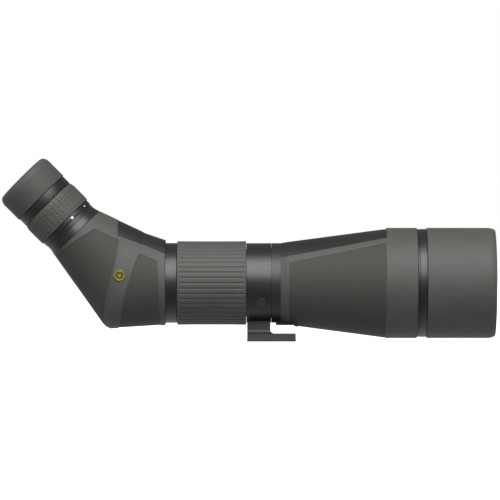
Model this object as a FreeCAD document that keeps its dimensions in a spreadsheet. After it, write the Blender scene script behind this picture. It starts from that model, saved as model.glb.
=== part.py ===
import FreeCAD, Part
import math
import os
import Sketcher

# Angled 85 mm-class spotting scope.
# Row frame: origin at the tripod thread in the foot's underside, +Z up, +X towards the objective.
# Barrel parts are drawn about their own X axis and lifted to the barrel's axis.
# Eyepiece parts are drawn about their own X axis, which runs up the eyepiece at 45 degrees.

DIMENSIONS = {
    # Axes
    "axis_height": 51.7,
    "eyepiece_turn": -135.0,
    "eyepiece_origin_x": -129.43,
    "eyepiece_origin_height": 52.27,
    "wall_gap": 0.2,
    "running_gap": 0.08,
    # Tripod collar and foot
    "collar_rear": -22.2,
    "collar_front": -0.2,
    "collar_radius": 35.4,
    "collar_middle": -11.2,
    "foot_rear": -21.5,
    "plate_front": 21.6,
    "plate_width": 34.0,
    "plate_thickness": 6.6,
    "stem_front": -0.9,
    "stem_width": 22.0,
    "stem_fillet": 3.8,
    "stem_top": 24.0,
    "insert_radius": 5.0,
    "thread_radius": 3.175,
    "thread_depth": 5.5,
    "pin_hole_radius": 2.3,
    "pin_hole_x": 14.5,
    "pin_hole_depth": 4.8,
    "screw_head_radius": 3.0,
    "screw_head_height": 4.0,
    "screw_shank_radius": 2.0,
    "screw_clearance_radius": 2.2,
    "screw_recess": 0.3,
    "screw_tip": 19.6,
    "rear_screw_x": -17.2,
    "front_screw_x": -9.6,
    # Collar lock knob, on the far side
    "boss_radius": 7.5,
    "boss_end": 38.0,
    "shoe_radius": 4.0,
    "shoe_start": 31.3,
    "shoe_end": 33.3,
    "stud_radius": 2.5,
    "stud_start": 33.6,
    "stud_end": 46.0,
    "knob_radius": 10.0,
    "knob_start": 38.6,
    "knob_end": 50.0,
    "knob_flute_radius": 2.2,
    "knob_flutes": 8,
    # Detent in the collar, on the near side
    "detent_angle": 28.5,
    "detent_x": -8.9,
    "ball_radius": 1.25,
    "ball_centre": 31.55,
    "detent_bore_radius": 1.35,
    "cap_radius": 4.5,
    "cap_floor": 34.6,
    "cap_height": 1.6,
    "spring_radius": 0.85,
    "spring_wire": 0.14,
    "spring_pitch": 0.5,
    "spring_height": 1.8,
    "spring_start": 32.65,
    "track_floor": 29.8,
    "track_half_width": 1.6,
    "pocket_floor": 29.2,
    # Main tube and focus
    "tube_rear": -97.0,
    "journal_rear": -22.0,
    "tube_front": 9.2,
    "tube_radius": 30.0,
    "journal_radius": 31.0,
    "tube_bore": 27.0,
    "neck_rear": -94.0,
    "neck_front": -83.8,
    "neck_radius": 35.5,
    "focus_rear": -83.6,
    "focus_front": -22.4,
    "focus_sleeve_radius": 34.2,
    "focus_grip_radius": 37.2,
    "focus_waist": 37.0,
    "focus_pitch": 8.0,
    "focus_groove_turn": 470.0,
    "focus_pin_x": -53.0,
    "focus_pin_radius": 1.5,
    "focus_slot_gap": 0.3,
    "focus_travel": 5.0,
    "groove_radius": 32.4,
    "focus_pin_tip": 32.0,
    "carriage_rear": -66.0,
    "carriage_front": -40.0,
    "carriage_bore": 23.0,
    "focus_lens_radius": 24.9,
    "focus_lens_rear": -60.5,
    "focus_lens_front": -55.0,
    "o_ring_rear": -80.0,
    "o_ring_front": -25.5,
    "o_ring_middle": 29.52,
    "o_ring_wire": 0.5,
    # Tapered barrel
    "flange_end": 8.0,
    "shoulder": 14.3,
    "taper_end": 100.0,
    "body_front": 129.2,
    "shoulder_radius": 37.7,
    "front_radius": 49.0,
    "armour": 1.6,
    "flush": 0.3,
    "strip_flush": 1.2,
    "wall": 4.3,
    "seat_radius": 45.9,
    "seat_bore": 44.6,
    "seat_front": 193.0,
    "strip_rear_height": 22.8,
    "strip_front_height": 40.5,
    "strip_front": 102.0,
    "under_strip_front": 20.0,
    "keel_rear": 4.0,
    "keel_face": 37.4,
    "keel_depth": 3.4,
    "under_strip_width": 18.0,
    "baffle_rear": 50.0,
    "baffle_front": 90.0,
    "baffle_depth": 4.0,
    "baffle_thickness": 1.2,
    # Objective
    "cell_rear": 152.0,
    "cell_front": 186.0,
    "cell_bore": 43.3,
    "aperture": 42.5,
    "rear_lens_start": 154.0,
    "rear_lens_end": 162.6,
    "front_lens_start": 166.0,
    "front_lens_end": 180.0,
    "crown_bend": 180.0,
    "inner_bend": 260.0,
    "retainer_front": 183.5,
    # Hood
    "trim_rear": 129.4,
    "trim_front": 137.4,
    "trim_radius": 48.0,
    "hood_rear": 137.8,
    "hood_front": 198.7,
    "hood_bore": 46.6,
    "hood_tube_radius": 47.4,
    "hood_lip": 1.2,
    "hood_corner_length": 5.0,
    "hood_corner_depth": 1.8,
    "guide_rear": 138.8,
    "guide_front": 146.8,
    "hood_ring_x": 190.0,
    "hood_ring_middle": 46.08,
    "hood_ring_wire": 0.45,
    # Prism housing: four tilted sections from the neck to the eyepiece port
    "mouth_height": 0.45,
    "mouth_length": 37.95,
    "mouth_width": 36.4,
    "port_x": -172.71,
    "port_height": 43.85,
    "port_radius": 28.3,
    "lower_mitre_x": -127.7,
    "lower_mitre_height": 2.0,
    "lower_mitre_length": 45.35,
    "lower_mitre_width": 36.3,
    "lower_mitre_tilt": 20.0,
    "upper_mitre_x": -132.55,
    "upper_mitre_height": 4.75,
    "upper_mitre_length": 45.1,
    "upper_mitre_width": 36.0,
    "upper_mitre_tilt": 22.3,
    "port_tilt": 45.0,
    "housing_wall": 4.0,
    "rear_strip_start": -136.0,
    "rear_strip_start_height": 42.4,
    "rear_strip_bend": -109.1,
    "rear_strip_bend_height": 32.8,
    "rear_strip_end_height": 25.6,
    "web_rear": -107.0,
    "web_front": -104.5,
    "web_bore": 25.5,
    "badge_x": -134.2,
    "badge_height": 7.2,
    "badge_radius": 5.15,
    "badge_face": 36.75,
    "badge_thickness": 1.0,
    "purge_x": -120.0,
    "purge_radius": 3.0,
    "purge_face": 38.5,
    "purge_length": 4.0,
    # Prism and its cage
    "prism_face": -110.86,
    "prism_apex": 30.0,
    "prism_side": 52.0,
    "prism_half_width": 14.0,
    "roof_turn": -67.5,
    "cage_rear": -110.0,
    "cage_disc_radius": 29.0,
    "cage_aperture": 13.0,
    "cage_plate": 2.0,
    "cage_plate_gap": 0.1,
    "cage_arm_end": -150.86,
    "cage_arm_low": -14.0,
    "cage_arm_top": 10.0,
    "clamp_thickness": 2.6,
    "clamp_low": -11.0,
    "clamp_height": 8.0,
    "prism_screw_pitch": 27.0,
    "prism_screw_head": 1.8,
    "prism_screw_shank": 1.0,
    "prism_screw_tip": -105.0,
    "prism_screw_head_height": 2.0,
    # Eyepiece, measured along its own axis
    "barrel_start": 50.0,
    "web_end": 56.5,
    "port_face": 61.25,
    "index_start": 72.0,
    "index_end": 76.0,
    "grip_start": 76.2,
    "grip_end": 97.5,
    "ring_start": 97.8,
    "ring_end": 105.9,
    "barrel_end": 104.0,
    "neck_end": 124.2,
    "spigot_radius": 23.5,
    "mount_base_radius": 28.1,
    "mount_top_radius": 26.5,
    "mount_bore": 21.0,
    "index_radius": 27.0,
    "ring_radius": 27.1,
    "barrel_radius": 17.5,
    "barrel_bore": 16.0,
    "neck_outer": 21.5,
    "cam_start": 57.0,
    "cam_radius": 20.5,
    "zoom_ring_radius": 25.2,
    "zoom_grip_end_radius": 27.5,
    "zoom_grip_radius": 28.1,
    "zoom_grip_shoulder": 4.0,
    "zoom_pin_radius": 1.25,
    "zoom_slot_gap": 0.3,
    "zoom_pin_start": 13.7,
    "zoom_pin_end": 20.2,
    "slot_turn": 130.0,
    "slot_lead_in": 5.0,
    "zoom_turn": 120.0,
    "front_group_start": 57.0,
    "front_group_travel": 8.0,
    "rear_group_start": 83.0,
    "rear_group_travel": 6.0,
    "group_length": 10.0,
    "group_bore": 13.5,
    "group_clearance": 0.08,
    "group_lens_inset": 2.0,
    "group_lens_bend": 60.0,
    "field_stop_start": 98.5,
    "field_stop_thickness": 1.4,
    "field_stop_bore": 11.0,
    "eye_cell_end": 123.5,
    "eye_lens_start": 113.0,
    "eye_lens_end": 121.0,
    "eye_lens_radius": 15.5,
    "eye_lens_bend": 45.0,
    "eye_seat_lip": 1.0,
    "cam_ring_start": 106.1,
    "cam_ring_end": 123.8,
    "cam_ring_radius": 23.2,
    "sleeve_start": 106.4,
    "sleeve_end": 127.5,
    "sleeve_radius": 25.4,
    "sleeve_lip": 2.0,
    "cup_opening": 18.5,
    "cup_start": 106.1,
    "cup_end": 131.0,
    "cup_radius": 27.85,
    "cup_corner": 3.4,
    "cup_corner_step": 1.0,
    # Index marks
    "mark_place": 73.5,
    "dot_angle": 16.0,
    "dot_radius": 1.2,
    "tick_angle": 55.0,
    "tick_radius": 0.7,
    "mark_start": 26.3,
    "mark_length": 0.85,
}

HOLE_OVERRUN = 1.0
QUARTER = 90.0
TOUCHING = 0.01
PRISM_SCREW_TURNS = (30, 150, 270)


class Size:
    """A length that carries its number and the sheet expression that it comes from."""

    def __init__(self, number, text):
        self.number = number
        self.text = text

    def joined(self, sign, other, number):
        return Size(number, f"({self.text} {sign} {text_of(other)})")

    def __add__(self, other):
        return self.joined("+", other, self.number + number_of(other))

    def __sub__(self, other):
        return self.joined("-", other, self.number - number_of(other))

    def __mul__(self, other):
        return self.joined("*", other, self.number * number_of(other))

    def __truediv__(self, other):
        return self.joined("/", other, self.number / number_of(other))

    def __neg__(self):
        return Size(-self.number, f"(0 - {self.text})")

    def root(self):
        return Size(math.sqrt(self.number), f"sqrt({self.text})")


def sine(angle):
    return Size(math.sin(math.radians(angle.number)), f"sin({angle.text})")


def cosine(angle):
    return Size(math.cos(math.radians(angle.number)), f"cos({angle.text})")


def number_of(value):
    return value.number if isinstance(value, Size) else float(value)


def text_of(value):
    return value.text if isinstance(value, Size) else repr(float(value))


ZERO = Size(0.0, "0")
FAR = Size(80.0, "80")


class Sizes:
    """The sheet's cells by name: size.axis_height is the cell with that alias."""


def make_sheet(doc):
    sheet = doc.addObject("Spreadsheet::Sheet", "Dims")
    size = Sizes()
    for row, (word, number) in enumerate(DIMENSIONS.items(), start=1):
        sheet.set(f"A{row}", word)
        sheet.set(f"B{row}", repr(number))
        sheet.setAlias(f"B{row}", word)
        setattr(size, word, Size(number, f"Dims.{word}"))
    return size


doc = FreeCAD.newDocument("spotting_scope")
size = make_sheet(doc)
doc.recompute()
nodes = []


# Placing and binding


def bind(item, **values):
    """Tie properties to the sheet, such as bind(box, Length=size.plate_width)."""
    for prop, value in values.items():
        item.setExpression(prop, text_of(value))
    return item


def place(item, at=(0, 0, 0), axis=(0, 0, 1), turn=0.0):
    """Bind an object's Placement to a point, and a turn in degrees about an axis."""
    spot = "; ".join(text_of(value) for value in at)
    line = "; ".join(text_of(value) for value in axis)
    item.setExpression(
        "Placement",
        f"create(<<placement>>; create(<<vector>>; {spot});"
        f" create(<<rotation>>; create(<<vector>>; {line}); {text_of(turn)}))",
    )
    return item


def on_barrel(item):
    return place(item, at=(0, 0, size.axis_height))


def on_eyepiece(item):
    return place(item, (size.eyepiece_origin_x, 0, size.eyepiece_origin_height), (0, 1, 0), size.eyepiece_turn)


def node(item, name):
    """Name a finished sub-part, and list it for export."""
    item.Label = name
    nodes.append(item)
    return item


# Sketches and solids


def origin_plane(body, role):
    return next(feature for feature in body.Origin.OriginFeatures if feature.Role == role)


def hold(sketch, kind, edge, value):
    """Hold a corner at a signed distance from the sketch's origin, bound to the sheet."""
    number = sketch.addConstraint(Sketcher.Constraint(kind, -1, 1, edge, 1, number_of(value)))
    if isinstance(value, Size):
        sketch.setExpression(f"Constraints[{number}]", value.text)


def outline(sketch, points):
    """Draw a closed loop of straight lines and hold each corner."""
    count = len(points)
    for index, (along, out) in enumerate(points):
        ahead = points[(index + 1) % count]
        start = FreeCAD.Vector(number_of(along), number_of(out), 0)
        end = FreeCAD.Vector(number_of(ahead[0]), number_of(ahead[1]), 0)
        sketch.addGeometry(Part.LineSegment(start, end), False)
    for index, (along, out) in enumerate(points):
        sketch.addConstraint(Sketcher.Constraint("Coincident", index, 2, (index + 1) % count, 1))
        hold(sketch, "DistanceX", index, along)
        hold(sketch, "DistanceY", index, out)


def add_sketch(body, name, points, role="XY_Plane"):
    sketch = body.newObject("Sketcher::SketchObject", name)
    sketch.AttachmentSupport = [(origin_plane(body, role), "")]
    sketch.MapMode = "FlatFace"
    outline(sketch, points)
    return sketch


def add_circle(body, name, radius, x=ZERO):
    """A sketch of one circle, whose centre is on the sketch's X axis."""
    sketch = body.newObject("Sketcher::SketchObject", name)
    sketch.AttachmentSupport = [(origin_plane(body, "XY_Plane"), "")]
    sketch.MapMode = "FlatFace"
    centre = FreeCAD.Vector(x.number, 0, 0)
    sketch.addGeometry(Part.Circle(centre, FreeCAD.Vector(0, 0, 1), radius.number), False)
    if x is ZERO:
        sketch.addConstraint(Sketcher.Constraint("Coincident", 0, 3, -1, 1))
    else:
        sketch.addConstraint(Sketcher.Constraint("PointOnObject", 0, 3, -1))
        offset = sketch.addConstraint(Sketcher.Constraint("DistanceX", -1, 1, 0, 3, x.number))
        sketch.setExpression(f"Constraints[{offset}]", x.text)
    across = sketch.addConstraint(Sketcher.Constraint("Radius", 0, radius.number))
    sketch.setExpression(f"Constraints[{across}]", radius.text)
    return sketch


def mid_pad(body, name, sketch, length):
    """Draw a sketch out both ways from its plane."""
    pad = body.newObject("PartDesign::Pad", name)
    pad.Profile = sketch
    pad.Midplane = True
    return bind(pad, Length=length)


def side_block(name, points, width=FAR * 2):
    """A block seen from the side: the outline in the XZ plane, drawn out both ways along Y."""
    body = doc.addObject("PartDesign::Body", name)
    sketch = add_sketch(body, f"{name}_side", points, "XZ_Plane")
    mid_pad(body, f"{name}_pad", sketch, width)
    return body


def turned(name, points):
    """A body turned about its X axis from (distance along, radius) corners."""
    body = doc.addObject("PartDesign::Body", name)
    sketch = add_sketch(body, f"{name}_profile", points)
    turn = body.newObject("PartDesign::Revolution", f"{name}_turn")
    turn.Profile = sketch
    turn.ReferenceAxis = (sketch, ["H_Axis"])
    turn.Angle = 360
    return body


def ring(name, start, end, bore, radius):
    return turned(name, [(start, bore), (start, radius), (end, radius), (end, bore)])


def groove_ring(body, name, points):
    """Cut a groove turned about the body's X axis."""
    sketch = add_sketch(body, f"{name}_profile", points)
    groove = body.newObject("PartDesign::Groove", name)
    groove.Profile = sketch
    groove.ReferenceAxis = (sketch, ["H_Axis"])
    groove.Angle = 360
    return groove


def helical_groove(body, name, points, pitch, rise, left_handed, backwards):
    sketch = add_sketch(body, f"{name}_profile", points)
    cut = body.newObject("PartDesign::SubtractiveHelix", name)
    cut.Profile = sketch
    cut.ReferenceAxis = (sketch, ["H_Axis"])
    cut.Mode = "pitch-height-angle"
    cut.LeftHanded = left_handed
    cut.Reversed = backwards
    bind(cut, Pitch=pitch, Height=rise)
    return cut


def cylinder(name, radius, height):
    return bind(doc.addObject("Part::Cylinder", name), Radius=radius, Height=height)


def spanning_box(name, low, high):
    """A box between two corners."""
    length, width, height = (end - start for start, end in zip(low, high))
    item = bind(doc.addObject("Part::Box", name), Length=length, Width=width, Height=height)
    return place(item, at=low)


def joined(name, items):
    item = doc.addObject("Part::MultiFuse", name)
    item.Shapes = items
    return item


def shared(name, items):
    item = doc.addObject("Part::MultiCommon", name)
    item.Shapes = items
    return item


def cut(name, base, tool):
    item = doc.addObject("Part::Cut", name)
    item.Base = base
    item.Tool = tool
    return item


def group(name, items):
    item = doc.addObject("Part::Compound", name)
    item.Links = items
    return item


def along_x(name, start, end, radius):
    """A cylinder along the local X axis."""
    return place(cylinder(name, radius, end - start), (start, 0, 0), (0, 1, 0), QUARTER)


def along_y(name, x, z, start, end, radius):
    """A cylinder along +Y, from one distance to another."""
    return place(cylinder(name, radius, end - start), (x, start, z), (1, 0, 0), -QUARTER)


def ball(name, x, radius):
    return place(bind(doc.addObject("Part::Sphere", name), Radius=radius), (x, 0, 0))


def o_ring(name, x, middle, wire):
    item = bind(doc.addObject("Part::Torus", name), Radius1=middle, Radius2=wire)
    return place(item, (x, 0, 0), (0, 1, 0), QUARTER)


def double_convex(name, start, end, rim, rear_bend, front_bend):
    """A lens shared by a disc and two balls, which meet its faces at their middles."""
    disc = along_x(f"{name}_disc", start, end, rim)
    front = ball(f"{name}_front", end - front_bend, front_bend)
    rear = ball(f"{name}_rear", start + rear_bend, rear_bend)
    return shared(name, [disc, front, rear])


def sag(bend, radius):
    """The depth of a ball's face across a given radius."""
    return bend - (bend * bend - radius * radius).root()


def hollow_front(name, start, end, rim, bend):
    """A lens with a flat back, and a front hollowed by a ball that leaves the rim whole."""
    disc = along_x(f"{name}_disc", start, end, rim)
    return cut(name, disc, ball(f"{name}_hollow", end - sag(bend, rim) + bend, bend))


# Tripod collar, foot and lock


def near_side(distance):
    """A point at a distance from the barrel's axis, towards the detent."""
    angle = size.detent_angle
    return (size.detent_x, -distance * cosine(angle), -distance * sine(angle))


def detent_cylinder(name, start, height, radius, lifted=False):
    """A cylinder pointing out of the collar along the detent's line."""
    x, y, z = near_side(start)
    spot = (x, y, size.axis_height + z) if lifted else (x, y, z)
    return place(cylinder(name, radius, height), spot, (1, 0, 0), size.detent_angle + QUARTER)


def make_collar():
    blank = ring("collar_blank", size.collar_rear, size.collar_front, size.journal_radius,
                 size.collar_radius)
    boss = along_y("lock_boss", size.collar_middle, 0, size.tube_radius, size.boss_end, size.boss_radius)
    bore = along_x("collar_bore", size.collar_rear - HOLE_OVERRUN, size.collar_front + HOLE_OVERRUN,
                   size.journal_radius + size.running_gap)
    shoe_hole = along_y("shoe_hole", size.collar_middle, 0, size.tube_bore, size.shoe_end, size.shoe_radius)
    stud_hole = along_y("stud_hole", size.collar_middle, 0, size.tube_bore, size.boss_end + HOLE_OVERRUN,
                        size.stud_radius + size.running_gap)
    ball_hole = detent_cylinder("ball_hole", size.tube_bore, size.collar_radius - size.tube_bore,
                                size.detent_bore_radius)
    cap_hole = detent_cylinder("cap_hole", size.cap_floor, size.cap_height + HOLE_OVERRUN, size.cap_radius)
    reach = size.screw_tip - size.screw_recess
    screw_holes = [
        place(cylinder(f"collar_screw_hole_{end}", size.screw_shank_radius, reach),
              (x, 0, size.screw_recess - size.axis_height))
        for end, x in foot_screw_rows()
    ]
    solid = joined("collar_solid", [blank, boss])
    tools = joined("collar_tools", [bore, shoe_hole, stud_hole, ball_hole, cap_hole] + screw_holes)
    node(on_barrel(cut("collar_cut", solid, tools)), "tripod_collar")


def foot_screw_rows():
    return (("rear", size.rear_screw_x), ("front", size.front_screw_x))


def foot_screw(name, x):
    head = place(cylinder(f"{name}_head", size.screw_head_radius, size.screw_head_height),
                 (x, 0, size.screw_recess))
    shank = place(cylinder(f"{name}_shank", size.screw_shank_radius, size.screw_tip - size.screw_recess),
                  (x, 0, size.screw_recess))
    return joined(name, [head, shank])


def make_foot():
    body = doc.addObject("PartDesign::Body", "foot_body")
    side = add_sketch(body, "foot_side", [
        (size.foot_rear, 0), (size.plate_front, 0), (size.plate_front, size.plate_thickness),
        (size.foot_rear, size.plate_thickness),
    ], "XZ_Plane")
    mid_pad(body, "plate", side, size.plate_width)
    post = add_sketch(body, "stem_side", [
        (size.foot_rear, size.plate_thickness), (size.stem_front, size.plate_thickness),
        (size.stem_front, size.stem_top), (size.foot_rear, size.stem_top),
    ], "XZ_Plane")
    stem = mid_pad(body, "stem", post, size.stem_width)
    doc.recompute()
    half_width = size.stem_width.number / 2
    inner_corner = [
        f"Edge{number}" for number, edge in enumerate(stem.Shape.Edges, start=1)
        if edge.BoundBox.XMax < size.stem_front.number + TOUCHING
        and edge.BoundBox.XMax > size.stem_front.number - TOUCHING
        and max(abs(edge.BoundBox.YMin), abs(edge.BoundBox.YMax)) < half_width + TOUCHING
        and abs(edge.BoundBox.ZMin - size.plate_thickness.number) < TOUCHING
        and abs(edge.BoundBox.ZMax - size.plate_thickness.number) < TOUCHING
    ]
    fillet = body.newObject("PartDesign::Fillet", "stem_root")
    fillet.Base = (stem, inner_corner)
    bind(fillet, Radius=size.stem_fillet)
    seat = place(cylinder("collar_seat", size.collar_radius, size.plate_front - size.foot_rear),
                 (size.foot_rear - HOLE_OVERRUN, 0, size.axis_height), (0, 1, 0), QUARTER)
    head_room = size.screw_head_height + size.screw_recess
    tools = [
        seat, cylinder("insert_hole", size.insert_radius, size.thread_depth),
        place(cylinder("pin_hole", size.pin_hole_radius, size.pin_hole_depth), (size.pin_hole_x, 0, 0)),
    ]
    for end, x in foot_screw_rows():
        head_way = cylinder(f"counterbore_{end}", size.screw_head_radius, head_room)
        shank_way = cylinder(f"screw_way_{end}", size.screw_clearance_radius, size.stem_top)
        tools += [place(head_way, (x, 0, 0)), place(shank_way, (x, 0, 0))]
    node(cut("foot_cut", body, joined("foot_tools", tools)), "tripod_foot")
    screws = [foot_screw(f"{end}_foot_screw", x) for end, x in foot_screw_rows()]
    node(group("foot_screw_group", screws), "foot_screws")


def make_thread_insert():
    sleeve = cylinder("insert_sleeve", size.insert_radius, size.thread_depth)
    bore = cylinder("insert_bore", size.thread_radius, size.thread_depth)
    node(cut("insert_cut", sleeve, bore), "thread_insert")


def make_lock():
    x, z = size.collar_middle, size.axis_height
    node(along_y("shoe", x, z, size.shoe_start, size.shoe_end, size.shoe_radius), "clamp_shoe")
    node(along_y("stud", x, z, size.stud_start, size.stud_end, size.stud_radius), "lock_stud")
    body = doc.addObject("PartDesign::Body", "knob_body")
    rim = add_circle(body, "knob_rim", size.knob_radius)
    pad = body.newObject("PartDesign::Pad", "knob_pad")
    pad.Profile = rim
    bind(pad, Length=size.knob_end - size.knob_start)
    doc.recompute()
    flute = add_circle(body, "knob_flute", size.knob_flute_radius,
                       size.knob_radius + size.knob_flute_radius / 2)
    pocket = body.newObject("PartDesign::Pocket", "flute_cut")
    pocket.Profile = flute
    pocket.Type = "ThroughAll"
    pocket.Reversed = True
    pattern = body.newObject("PartDesign::PolarPattern", "flutes")
    pattern.Originals = [pocket]
    pattern.Axis = (rim, ["N_Axis"])
    pattern.Angle = 360
    bind(pattern, Occurrences=size.knob_flutes)
    body.Tip = pattern
    place(body, (x, size.knob_start, z), (1, 0, 0), -QUARTER)
    hole = along_y("knob_hole", x, z, size.knob_start - HOLE_OVERRUN, size.stud_end, size.stud_radius)
    node(cut("knob_cut", body, hole), "lock_knob")


def make_detent():
    cap = detent_cylinder("cap", size.cap_floor, size.cap_height, size.cap_radius, lifted=True)
    node(cap, "detent_cap")
    x, y, z = near_side(size.ball_centre)
    sphere = bind(doc.addObject("Part::Sphere", "detent_sphere"), Radius=size.ball_radius)
    node(place(sphere, (x, y, size.axis_height + z)), "detent_ball")
    coil = doc.addObject("Part::Helix", "spring_line")
    bind(coil, Pitch=size.spring_pitch, Height=size.spring_height, Radius=size.spring_radius)
    wire = bind(doc.addObject("Part::Circle", "spring_wire"), Radius=size.spring_wire)
    place(wire, (size.spring_radius, 0, 0), (1, 0, 0), QUARTER)
    spring = doc.addObject("Part::Sweep", "spring_sweep")
    spring.Sections = [wire]
    spring.Spine = (coil, [])
    spring.Solid = True
    spring.Frenet = True
    x, y, z = near_side(size.spring_start)
    spot = (x, y, size.axis_height + z)
    node(place(spring, spot, (1, 0, 0), size.detent_angle + QUARTER), "detent_spring")


# Main tube and focus


def make_main_tube():
    body = turned("tube_body", [
        (size.tube_rear, size.tube_bore), (size.tube_rear, size.tube_radius),
        (size.journal_rear, size.tube_radius), (size.journal_rear, size.journal_radius),
        (size.tube_front, size.journal_radius), (size.tube_front, size.tube_bore),
    ])
    groove_ring(body, "detent_track", [
        (size.detent_x - size.track_half_width, size.track_floor),
        (size.detent_x - size.track_half_width, size.collar_radius),
        (size.detent_x + size.track_half_width, size.collar_radius),
        (size.detent_x + size.track_half_width, size.track_floor),
    ])
    for end, x in (("rear", size.o_ring_rear), ("front", size.o_ring_front)):
        groove_ring(body, f"o_ring_groove_{end}", [
            (x - size.o_ring_wire, size.o_ring_middle - size.o_ring_wire),
            (x - size.o_ring_wire, size.collar_radius),
            (x + size.o_ring_wire, size.collar_radius),
            (x + size.o_ring_wire, size.o_ring_middle - size.o_ring_wire),
        ])
    reach = size.focus_travel + size.focus_pin_radius + size.focus_slot_gap
    half = size.focus_pin_radius + size.focus_slot_gap
    slot = spanning_box(
        "focus_slot",
        (size.focus_pin_x - reach, ZERO, -half),
        (size.focus_pin_x + reach, size.collar_radius, half),
    )
    depth = size.tube_radius - size.pocket_floor
    pockets = []
    for quarter in range(4):
        turn = size.detent_angle + QUARTER + QUARTER * quarter
        pocket = cylinder(f"click_pocket_{quarter}", size.track_half_width, depth)
        spot = (size.detent_x, -size.pocket_floor * sine(turn), size.pocket_floor * cosine(turn))
        pockets.append(place(pocket, spot, (1, 0, 0), turn))
    node(on_barrel(cut("tube_cut", body, joined("tube_tools", [slot] + pockets))), "main_tube")


def make_neck():
    neck = ring("neck_body", size.neck_rear, size.neck_front, size.tube_radius, size.neck_radius)
    node(on_barrel(neck), "neck_ring")


def make_focus_ring():
    bore = size.tube_radius + size.running_gap
    body = ring("focus_ring_body", size.focus_rear, size.focus_front, bore, size.focus_sleeve_radius)
    rise = size.focus_pitch * size.focus_groove_turn / 360
    half = size.focus_pin_radius + size.focus_slot_gap
    start = size.focus_pin_x - rise / 2
    helical_groove(body, "focus_groove", [
        (start - half, size.tube_bore), (start - half, size.groove_radius),
        (start + half, size.groove_radius), (start + half, size.tube_bore),
    ], size.focus_pitch, rise, False, False)
    node(place(body, (0, 0, size.axis_height), (1, 0, 0), -(size.focus_groove_turn / 2)), "focus_ring")
    middle = (size.focus_rear + size.focus_front) / 2
    grip = turned("focus_grip_body", [
        (size.focus_rear, size.focus_sleeve_radius), (size.focus_rear, size.focus_grip_radius),
        (middle, size.focus_waist), (size.focus_front, size.focus_grip_radius),
        (size.focus_front, size.focus_sleeve_radius),
    ])
    node(on_barrel(grip), "focus_grip")


def make_focus_carriage():
    outer = size.tube_bore - size.running_gap
    body = turned("carriage_body", [
        (size.carriage_rear, size.focus_lens_radius), (size.carriage_rear, outer),
        (size.carriage_front, outer), (size.carriage_front, size.carriage_bore),
        (size.focus_lens_front, size.carriage_bore), (size.focus_lens_front, size.focus_lens_radius),
    ])
    pin = along_y("carriage_pin_hole", size.focus_pin_x, 0, size.carriage_bore + HOLE_OVERRUN,
                  size.focus_pin_tip, size.focus_pin_radius)
    node(on_barrel(cut("carriage_cut", body, pin)), "focus_carriage")
    lens = hollow_front("focus_lens_body", size.focus_lens_rear, size.focus_lens_front,
                        size.focus_lens_radius, size.inner_bend)
    node(on_barrel(lens), "focusing_lens")
    keeper = ring("keeper_body", size.carriage_rear + size.wall_gap, size.focus_lens_rear,
                  size.carriage_bore, size.focus_lens_radius)
    node(on_barrel(keeper), "focus_lens_retainer")
    drive = along_y("drive_pin", size.focus_pin_x, size.axis_height, size.carriage_bore + HOLE_OVERRUN,
                    size.focus_pin_tip, size.focus_pin_radius)
    node(drive, "focus_pin")
    rings = [o_ring(f"focus_o_ring_{end}", x, size.o_ring_middle, size.o_ring_wire)
             for end, x in (("rear", size.o_ring_rear), ("front", size.o_ring_front))]
    node(on_barrel(group("o_ring_pair", rings)), "focus_o_rings")


# Tapered barrel, objective and hood


def barrel_skin(name, front):
    """The armour's layer over the barrel, before the bare strips are taken out."""
    return turned(name, [
        (size.flange_end, size.collar_radius - size.armour),
        (size.flange_end, size.collar_radius),
        (size.shoulder, size.shoulder_radius), (size.taper_end, size.front_radius),
        (front, size.front_radius), (front, size.front_radius - size.armour),
        (size.taper_end, size.front_radius - size.armour),
        (size.shoulder, size.shoulder_radius - size.armour),
    ])


def barrel_strips(name):
    """The space of the bare strips along the top and under the rear."""
    rear = size.flange_end - HOLE_OVERRUN
    top = side_block(f"{name}_top", [
        (rear, size.strip_rear_height), (size.strip_front, size.strip_front_height),
        (size.strip_front, FAR), (rear, FAR),
    ])
    low = spanning_box(f"{name}_low", (rear, -(size.under_strip_width / 2), -size.front_radius),
                       (size.under_strip_front, size.under_strip_width / 2, ZERO))
    return joined(name, [top, low])


def make_barrel():
    armour = cut("barrel_armour_cut", barrel_skin("barrel_skin", size.body_front),
                 barrel_strips("barrel_strips"))
    node(on_barrel(armour), "barrel_armour")
    flush_front = size.front_radius - size.strip_flush
    casting = turned("barrel_casting", [
        (0, size.journal_radius), (0, size.collar_radius), (size.flange_end, size.collar_radius),
        (size.shoulder, size.shoulder_radius - size.strip_flush), (size.taper_end, flush_front),
        (size.body_front, flush_front), (size.body_front, size.seat_radius),
        (size.seat_front, size.seat_radius), (size.seat_front, size.seat_bore),
        (size.taper_end, size.seat_bore), (size.shoulder, size.shoulder_radius - size.wall),
        (size.tube_front, size.journal_radius),
    ])
    groove_ring(casting, "hood_ring_groove", [
        (size.hood_ring_x - size.hood_ring_wire, size.hood_ring_middle - size.hood_ring_wire),
        (size.hood_ring_x - size.hood_ring_wire, size.front_radius),
        (size.hood_ring_x + size.hood_ring_wire, size.front_radius),
        (size.hood_ring_x + size.hood_ring_wire, size.hood_ring_middle - size.hood_ring_wire),
    ])
    space = cut("barrel_armour_space", barrel_skin("skin_space", size.body_front + HOLE_OVERRUN),
                barrel_strips("strip_space"))
    half_width = size.under_strip_width / 2
    keel = spanning_box("keel", (size.keel_rear, -half_width, -size.keel_face),
                        (size.under_strip_front, half_width, size.keel_depth - size.keel_face))
    shell = cut("barrel_shell_cut", casting, space)
    node(on_barrel(joined("barrel_shell_keel", [shell, keel])), "barrel_shell")


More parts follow.
